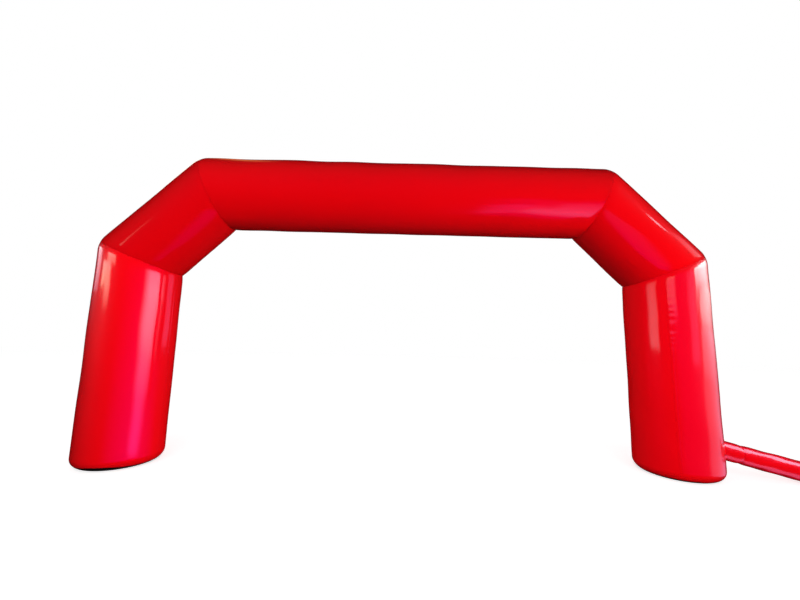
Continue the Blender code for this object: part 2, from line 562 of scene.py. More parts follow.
RED_CLOTH = CoatedCloth(
    name="red_coated_cloth",
    colour=(0.78, 0.0003, 0.0016, 1.0),
    worn_colour=(0.72, 0.0006, 0.003, 1.0),
    crease_shade_and_thread_colour=(0.56, 0.0003, 0.0016, 1.0),
    sheen_tint=(1.0, 0.02, 0.30, 1.0),
)
# Black is the base panels' own colour; where the left foot's line lifts, it also stands in for a contact
# shadow as painted shade.
BLACK_CLOTH = CoatedCloth(
    name="black_base_cloth",
    colour=(0.006, 0.004, 0.004, 1.0),
    worn_colour=(0.010, 0.008, 0.008, 1.0),
    crease_shade_and_thread_colour=(0.004, 0.003, 0.003, 1.0),
    sheen_tint=(1.0, 1.0, 1.0, 1.0),
    roughness=0.7,
    gloss=0.1,
    gloss_roughness=0.3,
)


@dataclass(frozen=True)
class Layout:
    """Where the tube runs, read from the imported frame.

    Attributes:
        middle: The gateway's middle along X.
        radius: The tube's radius.
        half_span: From the middle to a leg's axis.
        top: The height of the beam's axis.
        step: How far the shoulder runs along and up.
    """

    middle: float
    radius: float
    half_span: float
    top: float
    step: float = 0.94

    @classmethod
    def read(cls) -> "Layout":
        """Work the layout out from the boxes of the legs and the beam.

        Returns:
            The layout.
        """
        left_low, left_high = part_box("leg_left")
        right_low, right_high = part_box("leg_right")
        left = (left_low[0] + left_high[0]) / 2
        right = (right_low[0] + right_high[0]) / 2
        radius = (left_high[1] - left_low[1]) / 2
        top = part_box("top_beam")[1][2] - radius
        return cls((left + right) / 2, radius, (right - left) / 2, top)

    def node(self, side: int, corner: str) -> np.ndarray:
        """Return a point of the tube's axis.

        Args:
            side: -1 on the left and 1 on the right.
            corner: Which point it is: foot, low or high.

        Returns:
            The point.
        """
        across = {"foot": self.half_span, "low": self.half_span, "high": self.half_span - self.step}
        height = {"foot": 0.0, "low": self.top - self.step, "high": self.top}
        return np.array((self.middle + side * across[corner], 0.0, height[corner]))


@dataclass(frozen=True)
class Unevenness:
    """The slight waves of a filled tube, as a sum of long sine waves.

    Attributes:
        seed: What the waves' phases are drawn from.
        swell: The waves' size together.
        count: The number of waves.
        pitches: The shortest and the longest wave along the tube.
    """

    seed: int
    swell: float = 0.0022
    count: int = 7
    pitches: tuple[float, float] = (0.6, 1.8)

    def at(self, angle: np.ndarray, along: np.ndarray) -> np.ndarray:
        """Work out how far the cloth stands out.

        Each wave is the sine of a whole number of turns of the angle plus the place over its
        pitch, and their sum is scaled down by the square root of their number.

        Args:
            angle: Angles round the tube.
            along: Places along it.

        Returns:
            The distance outwards.
        """
        draw = np.random.default_rng(self.seed)
        total = np.zeros(np.broadcast(angle, along).shape)
        for _ in range(self.count):
            turns = draw.integers(1, 6)
            pitch = draw.uniform(*self.pitches)
            phase = draw.uniform(0.0, FULL_TURN)
            total = total + np.sin(turns * angle + FULL_TURN * along / pitch + phase)
        return total * self.swell / sqrt(self.count)


@dataclass(frozen=True)
class Puckers:
    """Small gathers that a sewn edge leaves in the cloth beside it.

    Attributes:
        seed: What their spacing and size are drawn from.
        count: The number of gathers round the tube.
        depth: How deep they are at the edge.
        reach: How fast they fade away from the edge.
        wander_waves: The turns round the tube and the size of the two waves that shift them.
        slow_wave: The turns and the size of the wave that their depth follows.
    """

    seed: int
    count: int = 52
    depth: float = 0.0011
    reach: float = 0.045
    wander_waves: tuple[tuple[int, float], ...] = ((3, 1.7), (7, 1.1))
    slow_wave: tuple[int, float] = (5, 0.35)

    def at(self, angle: np.ndarray, off: np.ndarray) -> np.ndarray:
        """Work out how far the cloth is drawn in.

        The gathers are the square of a sine round the tube with a wandering phase, times a slow
        wave, and they fade as an exponential of the distance.

        Args:
            angle: Angles round the tube.
            off: Distances from the edge.

        Returns:
            The distance inwards.
        """
        draw = np.random.default_rng(self.seed)
        *phases, last_phase = draw.uniform(0.0, FULL_TURN, 3)
        wander = sum(
            size * np.sin(turns * angle + phase)
            for (turns, size), phase in zip(self.wander_waves, phases)
        )
        slow_turns, slow_size = self.slow_wave
        slow = 1 - slow_size + slow_size * np.sin(slow_turns * angle + last_phase)
        gathers = np.sin(self.count / 2 * angle + wander) ** 2
        return self.depth * slow * gathers * np.exp(-off / self.reach)


@dataclass(frozen=True)
class Lap:
    """A lengthwise seam, where one edge of the cloth lies over the other.

    Attributes:
        angle: Where it lies round the tube.
        width: The width of the lapped strip.
        rise: How proud the strip stands.
        draw: How far the seam pulls the cloth in.
        reach: How far the pull spreads.
        steep_edge: Half the width over which the strip's sewn edge drops.
        soft_edge: How far past the strip its other edge fades out.
        gather_pitch: The spacing of the gathers across it.
        gather_share: How much of the pull follows the gathers.
        wander: How far two waves along the seam shift the gathers.
        wander_pitches: The lengths of those waves.
    """

    angle: float
    width: float = 0.026
    rise: float = 0.0011
    draw: float = 0.0016
    reach: float = 0.055
    steep_edge: float = 0.002
    soft_edge: float = 0.008
    gather_pitch: float = 0.085
    gather_share: float = 0.45
    wander: float = 1.3
    wander_pitches: tuple[float, float] = (0.47, 0.31)

    def at(self, off: np.ndarray, along: np.ndarray) -> np.ndarray:
        """Work out how far the cloth stands out.

        The strip is a flat band with one steep edge and one soft edge. The pull is a bell curve
        across the seam, deeper where a gather crosses it.

        Args:
            off: Distances from the seam.
            along: Places along it.

        Returns:
            The distance outwards.
        """
        half = self.width / 2
        sewn = eased(off, -half - self.steep_edge, -half + self.steep_edge)
        band = sewn * (1 - eased(off, half - self.steep_edge, half + self.soft_edge))
        shift = self.wander * sum(np.sin(FULL_TURN * along / pitch) for pitch in self.wander_pitches)
        gather = np.sin(FULL_TURN * along / self.gather_pitch + shift)
        depth = 1 - self.gather_share + self.gather_share * gather
        pull = self.draw * depth * np.exp(-((off / self.reach) ** 2))
        return self.rise * band - pull


@dataclass(frozen=True)
class FootEdge:
    """The rounded edge of a foot and the line where the red cloth meets the base panel.

    Attributes:
        radius: The radius of the rounded edge.
        height: The height of the meeting line.
        lift: How much higher the line runs at one place, where the black panel it uncovers is painted shade.
        lift_angle: Where that place is, round the tube.
        lift_width: How far round the tube the lift spreads.
    """

    radius: float = 0.12
    height: float = 0.03
    lift: float = 0.0
    lift_angle: float = 0.0
    lift_width: float = 0.45

    def line(self, angle: np.ndarray) -> np.ndarray:
        """Return the height of the meeting line: level, with a bell curve where it lifts."""
        away = (angle - self.lift_angle + pi) % FULL_TURN - pi
        return self.height + self.lift * np.exp(-((away / self.lift_width) ** 2))

    def inset(self, height: np.ndarray) -> np.ndarray:
        """Return how far the quarter round is drawn in at a height: a circle's arc."""
        below = np.clip(self.radius - height, 0.0, self.radius)
        return self.radius - np.sqrt(self.radius**2 - below**2)


@dataclass(frozen=True)
class TubeRun:
    """One straight length of the tube, between two points of its axis.

    Attributes:
        name: The piece's name.
        node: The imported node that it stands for.
        start: Where its axis begins.
        end: Where its axis ends.
        ends: How it ends at the start and at the end.
        laps: Its lengthwise seams.
        seams: The seed of the puckers at each end.
        rows: The number of steps along it.
        foot: The foot's edge, where it has one.
        radius: The tube's radius.
        columns: The number of steps round it.
        fine_reach: How far from each end the steps along it are short.
        fine_gain: How many times denser those steps get at the end.
        lap_fine_angle: How far from a lengthwise seam the steps round it are short.
        lap_fine_gain: How many times denser those steps get at the seam.
        seam_draw: How far a mitred seam draws the cloth in.
        corner_draw: How far it does so at the outer corner.
        corner_narrowing: The power that keeps the corner's draw close to the corner.
        seam_reach: How far along the tube the draw reaches.
        calm_reach: How far from an end the waves and laps fade in.
        cap_depth: How far from a mitred end's middle the cap that closes it lies.
        mitre: The angle of the cut at a mitred seam.
    """

    name: str
    node: str
    start: np.ndarray
    end: np.ndarray
    ends: tuple[End, End]
    laps: tuple[Lap, ...]
    seams: tuple[int, int]
    rows: int
    foot: FootEdge
    radius: float
    columns: int = 240
    fine_reach: float = 0.09
    fine_gain: float = 2.5
    lap_fine_angle: float = 0.05
    lap_fine_gain: float = 4.0
    seam_draw: float = 0.006
    corner_draw: float = 0.021
    corner_narrowing: int = 3
    seam_reach: float = 0.10
    calm_reach: float = 0.22
    cap_depth: float = 0.001
    mitre: float = radians(22.5)

    def draw(self, angle: np.ndarray) -> np.ndarray:
        """Return how far a mitred seam is drawn in: most at the outer corner of the bend."""
        outside = (0.5 + 0.5 * np.cos(angle)) ** self.corner_narrowing
        return self.seam_draw + (self.corner_draw - self.seam_draw) * outside

    def edge_puckers(self, which: int) -> Puckers:
        """Return the puckers at the start or the end."""
        return Puckers(self.seams[which])

    def edge_place(self, which: int, angle: np.ndarray) -> np.ndarray:
        """Return how far inside the axis's end the cloth begins.

        At a foot it is the height of the meeting line. At a mitre it is the cut through the
        tube: the radius there times the tangent of the mitre angle, longer on the outside.

        Args:
            which: 0 for the start and 1 for the end.
            angle: Angles round the tube.

        Returns:
            The distance along the axis.
        """
        if self.ends[which] is End.FOOT:
            return self.foot.line(angle) + PIECE_GAP / 2
        puckers = self.edge_puckers(which).at(angle, np.zeros_like(angle))
        reach = (self.radius - self.draw(angle) - puckers) * tan(self.mitre)
        return PIECE_GAP / 2 / cos(self.mitre) - reach * np.cos(angle)

    def fade_in(self, off: np.ndarray) -> np.ndarray:
        """Return 0 at an end and nearly 1 away from it: one less a bell curve."""
        return 1 - np.exp(-((off / self.calm_reach) ** 2))

    def ended(self, angle: np.ndarray, offs: tuple[np.ndarray, np.ndarray]) -> np.ndarray:
        """Work out the radius with what the two ends do to it.

        A mitred seam's draw falls off as the square of the way left to the end of its reach. A
        foot is drawn in by its round. Both ends have their puckers.

        Args:
            angle: Angles round the tube.
            offs: The distances from the cloth's start and from its end.

        Returns:
            The radius at each row and column.
        """
        reach = np.full_like(offs[0], self.radius)
        for which, off in enumerate(offs):
            reach = reach - self.edge_puckers(which).at(angle, off)
            if self.ends[which] is End.FOOT:
                reach = reach - self.foot.inset(off + self.edge_place(which, angle))
            else:
                left = np.clip(1 - off / self.seam_reach, 0.0, 1.0)
                reach = reach - self.draw(angle) * left * left
        return reach

    def skin(self) -> Skin:
        """Work out the surface.

        The radius at an angle and a place is that of the ended tube, plus the laps and the waves,
        which fade out towards the ends.

        Returns:
            The surface, closed at both ends.
        """
        axis = self.end - self.start
        length = np.linalg.norm(axis)
        axis = axis / length
        outside = np.cross(FRONT, axis)
        first_lap = self.laps[0].angle
        places = tuple((lap.angle - first_lap) % FULL_TURN for lap in self.laps)
        angle = first_lap + crowded(
            self.columns, FULL_TURN, places, self.lap_fine_angle, self.lap_fine_gain, around=True
        )
        share = crowded(self.rows, 1.0, (0.0, 1.0), self.fine_reach / length, self.fine_gain)[:, None]
        near = self.edge_place(0, angle)
        far = length - self.edge_place(1, angle)
        along = near + (far - near) * share
        off_start, off_end = along - near, far - along
        reach = self.ended(angle, (off_start, off_end))
        calm = self.fade_in(off_start) * self.fade_in(off_end)
        off_lap = np.full_like(along, NO_SEAM)
        for lap in self.laps:
            turned = (angle - lap.angle + pi) % FULL_TURN - pi
            off = np.broadcast_to(turned * self.radius, along.shape)
            reach = reach + lap.at(off, along) * calm
            off_lap = np.where(np.abs(off) < np.abs(off_lap), off, off_lap)
        reach = reach + Unevenness(sum(self.seams)).at(angle, along) * calm
        points = (
            self.start
            + along[..., None] * axis
            + (reach * np.cos(angle))[..., None] * outside
            + (reach * np.sin(angle))[..., None] * FRONT
        )
        across = np.broadcast_to((angle - first_lap) * self.radius, along.shape)
        depths = [
            edge.mean() if end is End.FOOT else self.cap_depth
            for end, edge in zip(self.ends, (near, length - far))
        ]
        return Skin(
            points,
            np.stack((across, along), axis=-1),
            {"off_seam": np.minimum(off_start, off_end), "off_lap": off_lap},
            first_pole=self.start + axis * depths[0],
            last_pole=self.end - axis * depths[1],
        )

    def build(self, material: bpy.types.Material) -> bpy.types.Object:
        """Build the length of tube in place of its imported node.

        Args:
            material: The red cloth.

        Returns:
            The piece.
        """
        piece = add_piece(self.name, self.skin().mesh(self.name), material)
        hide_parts(self.node)
        return piece


@dataclass(frozen=True)
class BasePanel:
    """The black panel that closes a foot: a flat round with its edge turned up.

    Attributes:
        name: The piece's name.
        node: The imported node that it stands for.
        centre: The foot's middle on the floor.
        outside: The direction of the outside of the bend.
        radius: The tube's radius.
        foot: The foot's edge.
        seam: The seed of the puckers at the meeting line.
        columns: The number of steps round it.
        rows: The number of steps up its edge.
        flat_rings: The number of rings on its flat round.
        flat_shares: How far out the first and the last of those rings lie.
    """

    name: str
    node: str
    centre: np.ndarray
    outside: np.ndarray
    radius: float
    foot: FootEdge
    seam: int
    columns: int = 160
    rows: int = 26
    flat_rings: int = 6
    flat_shares: tuple[float, float] = (0.15, 0.95)

    def skin(self) -> Skin:
        """Work out the surface.

        It runs from the middle of the floor out over a flat round, then up the foot's quarter
        round to the meeting line. A cone across the foot closes it.

        Returns:
            The surface, closed at both poles.
        """
        angle = np.linspace(0.0, FULL_TURN, self.columns + 1)
        line = self.foot.line(angle) - PIECE_GAP / 2
        edge = self.foot.radius
        top = np.arcsin(np.clip((edge - line) / edge, -1.0, 1.0))
        share = np.linspace(0.0, 1.0, self.rows + 1)[:, None]
        turned = pi / 2 + (top - pi / 2) * share
        height = edge * (1 - np.sin(turned))
        out = self.radius - edge * (1 - np.cos(turned))
        puckers = Puckers(self.seam).at(angle, line - height)
        out = out - puckers * (height / line)
        flat = np.linspace(*self.flat_shares, self.flat_rings)[:, None] * (self.radius - edge)
        flat = flat * np.ones_like(angle)
        out = np.concatenate((flat, out))
        height = np.concatenate((np.zeros_like(flat), height))
        turn = np.cross(UP, self.outside)
        points = (
            self.centre
            + (out * np.cos(angle))[..., None] * self.outside
            + (out * np.sin(angle))[..., None] * turn
            + height[..., None] * UP
        )
        cloth = np.stack((out * np.cos(angle), out * np.sin(angle)), axis=-1)
        off_seam = np.abs(line - height)
        return Skin(
            points,
            cloth,
            {"off_seam": off_seam, "off_lap": np.full_like(off_seam, NO_SEAM)},
            first_pole=self.centre,
            last_pole=self.centre + UP * (line.mean() - PIECE_GAP),
        )

    def build(self, material: bpy.types.Material) -> bpy.types.Object:
        """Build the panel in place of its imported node.

        Args:
            material: The black cloth.

        Returns:
            The piece.
        """
        piece = add_piece(self.name, self.skin().mesh(self.name), material)
        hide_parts(self.node)
        return piece


@dataclass(frozen=True)
class Arch:
    """The tube of the arch, its five lengths and two base panels.

    Attributes:
        layout: Where the tube runs.
        left_foot: The left foot's edge, whose line lifts at the front so that the black base panel shows
            there as a dark crescent: painted shade for the contact shadow under that foot.
        right_foot: The right foot's edge.
        first_seam: The seed of the puckers at the left foot. Each seam after it has the next one.
    """

    layout: Layout
    # Painted shade: the lift uncovers the black base panel as a dark crescent where the contact shadow lies.
    left_foot: FootEdge = FootEdge(lift=0.03, lift_angle=radians(98.0), lift_width=0.6)
    right_foot: FootEdge = FootEdge()
    first_seam: int = 11

    def runs(self) -> list[TubeRun]:
        """Work out the tube's lengths.

        Returns:
            The five lengths, from the left foot to the right foot.
        """
        node = self.layout.node
        path = [node(-1, "foot"), node(-1, "low"), node(-1, "high"),
                node(1, "high"), node(1, "low"), node(1, "foot")]
        leg_laps = (Lap(radians(180.0)), Lap(0.0))
        right_laps = (Lap(radians(123.0)), Lap(radians(303.0)))
        back_laps = (Lap(radians(-10.0)), Lap(radians(212.0)))
        names = ("leg_left", "shoulder_left", "top_beam", "shoulder_right", "leg_right")
        laps = (leg_laps, back_laps, back_laps, back_laps, right_laps)
        rows = (150, 100, 240, 100, 150)
        ends = [End.FOOT, *[End.MITRE] * 4, End.FOOT]
        return [
            TubeRun(
                name=f"tube_{name}",
                node=name,
                start=path[place],
                end=path[place + 1],
                ends=(ends[place], ends[place + 1]),
                laps=laps[place],
                seams=(self.first_seam + place, self.first_seam + place + 1),
                rows=rows[place],
                foot=self.left_foot if place == 0 else self.right_foot,
                radius=self.layout.radius,
            )
            for place, name in enumerate(names)
        ]

    def build(self, red: bpy.types.Material, black: bpy.types.Material) -> None:
        """Build the tube and the base panels.

        Args:
            red: The tube's cloth.
            black: The base panels' cloth.
        """
        runs = self.runs()
        for run in runs:
            run.build(red)
        last_seam = self.first_seam + len(runs)
        feet = ((-1, "left", self.left_foot, self.first_seam), (1, "right", self.right_foot, last_seam))
        for side, word, foot, seam in feet:
            BasePanel(
                name=f"base_panel_{word}",
                node=f"base_{word}",
                centre=self.layout.node(side, "foot"),
                outside=np.array((float(side), 0.0, 0.0)),
                radius=self.layout.radius,
                foot=foot,
                seam=seam,
            ).build(black)


@dataclass(frozen=True)
class BlowerSleeve:
    """The cloth sleeve for the blower and the short stub that joins it to the right leg.

    Attributes:
        layout: Where the leg stands.
        radius: The sleeve's outer radius.
        wall: Its wall.
        start_height: How high its centre line leaves the leg.
        heading: The angle to the front at which it leaves the leg. On the floor it runs along X.
        slope: How steeply it goes down.
        settling: The length over which it comes to lie on the floor.
        reach: How far its mouth is from the leg, along X.
        draw: How far the seam of stub and sleeve draws the cloth in.
        draw_reach: How far along the cloth that draw reaches.
        gathers: The gathers at that seam.
        waves: The waves of the sleeve's cloth.
        wave_stretch: How many times closer together they lie than on the arch.
        calm_reach: How far from the seam they fade in.
        hem_width: The width of the folded hem at the mouth.
        hem_edge: The width over which the hem drops to the cloth.
        hem_rise: How far the hem stands out.
        lap_angle: Where the lengthwise seam lies round the sleeve.
        stub_length: The length of the stub, along X.
        flare: How far the stub widens where it meets the leg.
        flare_reach: How far along the stub it does so.
        leg_gap: The gap between the stub's edge and the leg.
        slide_share: The share of the stub that is slanted to meet the leg's round wall.
        slide_power: How fast the slant falls off.
        leg_seam_off: How far outside the stub's edge its seam with the leg is taken to lie.
        mouth_seam_off: How far outside the mouth's edge the line beside its stitches lies.
        rest_sides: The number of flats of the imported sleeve, which sets its height on the floor.
        columns: The number of steps round it.
        stub_rows: The number of steps along the stub.
        stub_fine: The share of the stub, from each end, over which the steps are short, and how
            many times denser they get there.
        sleeve_rows: The number of steps along the sleeve.
        sleeve_fine: The length of the sleeve, from each end, over which the steps are short, and
            how many times denser they get there.
    """

    layout: Layout
    radius: float = 0.115
    wall: float = 0.003
    start_height: float = 0.322
    heading: float = radians(14.0)
    slope: float = 0.236
    settling: float = 0.35
    reach: float = 1.46
    draw: float = 0.008
    draw_reach: float = 0.06
    gathers: Puckers = Puckers(31, count=18, depth=0.0016, reach=0.03)
    waves: Unevenness = Unevenness(37, swell=0.0016)
    wave_stretch: float = 3.0
    calm_reach: float = 0.15
    hem_width: float = 0.024
    hem_edge: float = 0.003
    hem_rise: float = 0.0010
    lap_angle: float = radians(125.0)
    stub_length: float = 0.20
    flare: float = 0.012
    flare_reach: float = 0.07
    leg_gap: float = 0.0015
    slide_share: float = 0.4
    slide_power: float = 1.5
    leg_seam_off: float = 0.004
    mouth_seam_off: float = 0.002
    rest_sides: int = 24
    columns: int = 96
    stub_rows: int = 40
    stub_fine: tuple[float, float] = (0.12, 1.5)
    sleeve_rows: int = 170
    sleeve_fine: tuple[float, float] = (0.06, 2.0)

    @property
    def start_x(self) -> float:
        """Return where the centre line leaves the leg, along X from the arch's middle."""
        return self.layout.half_span + self.layout.radius * cos(self.heading)

    @property
    def rest_height(self) -> float:
        """Return the height of the centre line on the floor."""
        return self.radius * cos(pi / self.rest_sides)

    def ramp(self, x: np.ndarray) -> np.ndarray:
        """Work out how much of the slope is left: even, then a square over the settling length.

        Args:
            x: Places along X.

        Returns:
            The length of slope left at each place, which is 0 where the sleeve lies on the floor.
        """
        landing = self.start_x + (self.start_height - self.rest_height) / self.slope + self.settling / 2
        left = np.maximum(landing - x, 0.0)
        return np.where(left > self.settling, left - self.settling / 2, left * left / (2 * self.settling))

    def centre(self, x: np.ndarray) -> np.ndarray:
        """Work out the centre line: as high, and as far to the front, as the slope left sets it.

        Args:
            x: Places along X.

        Returns:
            The point at each place.
        """
        start_y = -self.layout.radius * sin(self.heading)
        turned = tan(self.heading) * (self.ramp(np.array(self.start_x)) - self.ramp(x))
        return np.stack((x, start_y - turned, self.rest_height + self.slope * self.ramp(x)), axis=-1)

    def frames(self, x: np.ndarray) -> tuple[np.ndarray, np.ndarray, np.ndarray]:
        """Work out the directions that the rings of points stand on.

        Args:
            x: Places along X.

        Returns:
            The directions along, across and square to both at each place.
        """
        step = 0.001
        along = self.centre(x + step) - self.centre(x - step)
        along /= np.linalg.norm(along, axis=-1, keepdims=True)
        across = np.cross(np.broadcast_to(UP, along.shape), along)
        across /= np.linalg.norm(across, axis=-1, keepdims=True)
        return along, across, np.cross(along, across)

    def travel(self, ring: np.ndarray, along: np.ndarray) -> np.ndarray:
        """Work out how far points go to meet the leg's round wall.

        It is the larger root of the quadratic for the distance at which a point, moved along the
        direction, lies on the wall's circle as seen from above.

        Args:
            ring: The points.
            along: The direction.

        Returns:
            The distance for each point.
        """
        offset = ring[..., :2] - np.array((self.layout.half_span, 0.0))
        flat = along[:2]
        square = flat @ flat
        half = offset @ flat
        wall = self.layout.radius + self.leg_gap
        return (-half + np.sqrt(half**2 - square * ((offset**2).sum(-1) - wall**2))) / square

    def side(self, x: np.ndarray, angle: np.ndarray, depth: float, reach: np.ndarray,
             floor: float) -> np.ndarray:
        """Return rows of points round the centre line, no lower than the floor.

        Args:
            x: Places along X, one a row.
            angle: Angles round the sleeve, one a column.
            depth: How far inside the outer surface the points lie.
            reach: The outer radius at each row and column.
            floor: The lowest height.

        Returns:
            The points.
        """
        _, across, upward = self.frames(x)
        spread = (reach - depth)[..., None]
        points = self.centre(x)[:, None] + spread * (
            np.cos(angle)[None, :, None] * across[:, None] + np.sin(angle)[None, :, None] * upward[:, None]
        )
        points[..., 2] = np.maximum(points[..., 2], floor)
        return points

    def walls(self, outer: np.ndarray, inner: np.ndarray, reach_along: np.ndarray, angle: np.ndarray,
              off_seam: np.ndarray) -> Skin:
        """Close an outer and an inner surface into one wall.

        Args:
            outer: The outer surface's points.
            inner: The inner surface's points.
            reach_along: The distance along the centre line, one a row.
            angle: Angles round the sleeve, one a column.
            off_seam: The distance from the nearest sewn edge, by row and column.

        Returns:
            The wall: out along the outer surface and back along the inner one.
        """
        points = np.concatenate((outer, inner[::-1]))
        along = np.concatenate((reach_along, reach_along[::-1]))
        across = np.broadcast_to(angle * self.radius, points.shape[:2])
        cloth = np.stack((across, np.broadcast_to(along[:, None], across.shape)), axis=-1)
        off = np.concatenate((off_seam, off_seam[::-1]))
        lap = (angle - self.lap_angle + pi) % FULL_TURN - pi
        marks = {"off_seam": off, "off_lap": np.broadcast_to(lap * self.radius, off.shape)}
        points = points + np.array((self.layout.middle, 0.0, 0.0))
        return Skin(points, cloth, marks, loops_back=True)

    def drawn(self, off: np.ndarray) -> np.ndarray:
        """Return the radius near the seam of stub and sleeve: drawn in as a square."""
        share = np.clip(1 - off / self.draw_reach, 0.0, 1.0)
        return self.radius - self.draw * share * share

    def length_to(self, x: np.ndarray) -> np.ndarray:
        """Return the distance along the centre line, from the first of the places."""
        steps = np.linalg.norm(np.diff(self.centre(x), axis=0), axis=-1)
        return np.concatenate(([0.0], np.cumsum(steps)))

    def stub(self) -> tuple[Skin, float]:
        """Work out the stub: flared where it meets the leg, drawn in at the sleeve.

        Returns:
            The stub's wall and its length.
        """
        angle = np.linspace(0.0, FULL_TURN, self.columns + 1)
        share = crowded(self.stub_rows, 1.0, (0.0, 1.0), *self.stub_fine)
        x = self.start_x + self.stub_length * share
        off = self.stub_length * (1 - share)
        left = np.clip(1 - self.stub_length * share / self.flare_reach, 0.0, 1.0)
        reach = (self.drawn(off) + self.flare * left * left)[:, None] * np.ones_like(angle)
        reach = reach - self.gathers.at(angle, off[:, None])
        slide = np.clip(1 - share / self.slide_share, 0.0, 1.0) ** self.slide_power
        along = self.frames(x[:1])[0][0]
        walls = []
        for depth in (0.0, self.wall):
            points = self.side(x, angle, depth, reach, 0.0)
            moved = self.travel(points[0], along) * slide[:, None]
            walls.append(points + moved[..., None] * along)
        length = self.length_to(x)
        off_seam = np.minimum(length[-1] - length, length + self.leg_seam_off)[:, None]
        off_seam = off_seam * np.ones_like(angle)
        return self.walls(walls[0], walls[1], length, angle, off_seam), length[-1]

    def sleeve(self) -> tuple[Skin, float]:
        """Work out the sleeve: down the slope, along the floor and to its hemmed mouth.

        Returns:
            The sleeve's wall and its length.
        """
        angle = np.linspace(0.0, FULL_TURN, self.columns + 1)
        first = self.start_x + self.stub_length + PIECE_GAP
        last = self.start_x + self.reach
        x = first + crowded(self.sleeve_rows, last - first, (0.0, last - first), *self.sleeve_fine)
        length = self.length_to(x)
        left = length[-1] - length
        reach = self.drawn(x - first)[:, None] * np.ones_like(angle)
        reach = reach - self.gathers.at(angle, (x - first)[:, None])
        calm = 1 - np.exp(-((length / self.calm_reach) ** 2))
        reach = reach + self.waves.at(angle, self.wave_stretch * length[:, None]) * calm[:, None]
        past_hem = eased(left, self.hem_width, self.hem_width + self.hem_edge)[:, None]
        reach = reach + self.hem_rise * (1 - past_hem)
        outer = self.side(x, angle, 0.0, reach, 0.0)
        inner = self.side(x, angle, self.wall, reach, self.wall)
        off_seam = np.minimum(length, left + self.mouth_seam_off)[:, None] * np.ones_like(angle)
        return self.walls(outer, inner, length, angle, off_seam), length[-1]

    def build(self, red: bpy.types.Material) -> None:
        """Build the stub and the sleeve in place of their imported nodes.

        Args:
            red: The sleeve's cloth.
        """
        flat_width = FULL_TURN * (self.radius - self.wall / 2)
        for name, node, (skin, length) in (
            ("stub_cloth", "sleeve_stub", self.stub()),
            ("sleeve_cloth", "blower_sleeve", self.sleeve()),
        ):
            piece = add_piece(name, skin.mesh(name), red)
            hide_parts(node)


def gathered(pieces: tuple[str, ...]) -> bpy.types.Collection:
    """Gather pieces that lights are linked to, in one collection for each set of pieces.

    Args:
        pieces: The pieces' names.

    Returns:
        The collection, which all lights on the same pieces share.
    """
    name = f"lit_{pieces[0]}_{len(pieces)}"
    known = bpy.data.collections.get(name)
    if known:
        return known
    group = bpy.data.collections.new(name)
    for piece in pieces:
        group.objects.link(bpy.data.objects[piece])
    return group


@dataclass(frozen=True)
class Softbox:
    """A rectangular soft light that stands upright and faces a place on the arch.

    Attributes:
        name: The light's name.
        facing: What it faces, across from the gateway's middle.
        bearings: The bearings of its two sides as seen from there, in degrees from the front
            towards the right.
        heights: The heights of its lower and upper edge.
        distance: How far away it stands.
        purpose: What it is there for.
        tint: The brightness of its upper edge in red, green and blue.
        low_tint: The brightness of its lower edge, or none where it is even.
        lights: The pieces that it is meant for, or none for all of them.
        feather: The share of the width over which each side fades out.
    """

    name: str
    facing: float
    bearings: tuple[float, float]
    heights: tuple[float, float]
    distance: float
    purpose: Purpose
    tint: tuple[float, float, float]
    low_tint: tuple[float, float, float] | None = None
    lights: tuple[str, ...] = ()
    feather: tuple[float, float] = (0.0, 0.0)

    def shade(self, lamp: bpy.types.Light) -> None:
        """Shade the light's face: from one tint to the other upwards, faded at the sides.

        Args:
            lamp: The light.
        """
        lamp.use_nodes = True
        kit = NodeKit(lamp.node_tree)
        emission = kit.tree.nodes["Emission"]
        face = kit.node("ShaderNodeNewGeometry", {}, {}).outputs["Parametric"]
        parts = kit.node("ShaderNodeSeparateXYZ", {}, {0: face})
        across, up = Number(kit, parts.outputs[0]), Number(kit, parts.outputs[1])
        low_colour = (*(self.low_tint or self.tint), 1.0)
        kit.feed(emission.inputs["Color"], kit.blend(up, low_colour, (*self.tint, 1.0)))
        fades = [
            across.mapped(float(side), abs(side - share), 0.0, 1.0, Easing.SMOOTHSTEP)
            for side, share in enumerate(self.feather)
            if share
        ]
        if fades:
            kit.feed(emission.inputs["Strength"], prod(fades[1:], start=fades[0]))

    def build(self, middle: float) -> None:
        """Set the light up.

        Args:
            middle: The gateway's middle along X.
        """
        bearing = radians(sum(self.bearings) / 2)
        half = radians(abs(self.bearings[1] - self.bearings[0]) / 2)
        height = sum(self.heights) / 2
        target = Vector((middle + self.facing, 0.0, height))
        away = Vector((sin(bearing), -cos(bearing), 0.0))
        lamp = bpy.data.lights.new(self.name, "AREA")
        lamp.shape = "RECTANGLE"
        lamp.size = 2 * self.distance * tan(half)
        lamp.size_y = self.heights[1] - self.heights[0]
        lamp.energy = pi * lamp.size * lamp.size_y
        lamp.cycles.use_multiple_importance_sampling = self.purpose is Purpose.GLOSS
        self.shade(lamp)
        box = bpy.data.objects.new(self.name, lamp)
        bpy.context.scene.collection.objects.link(box)
        box.location = target + away * self.distance
        box.rotation_euler = (-away).to_track_quat("-Z", "Y").to_euler()
        box.visible_camera = False
        box.visible_glossy = self.purpose is Purpose.GLOSS
        box.visible_diffuse = self.purpose is Purpose.SHAPING
        if self.lights:
            box.light_linking.receiver_collection = gathered(self.lights)


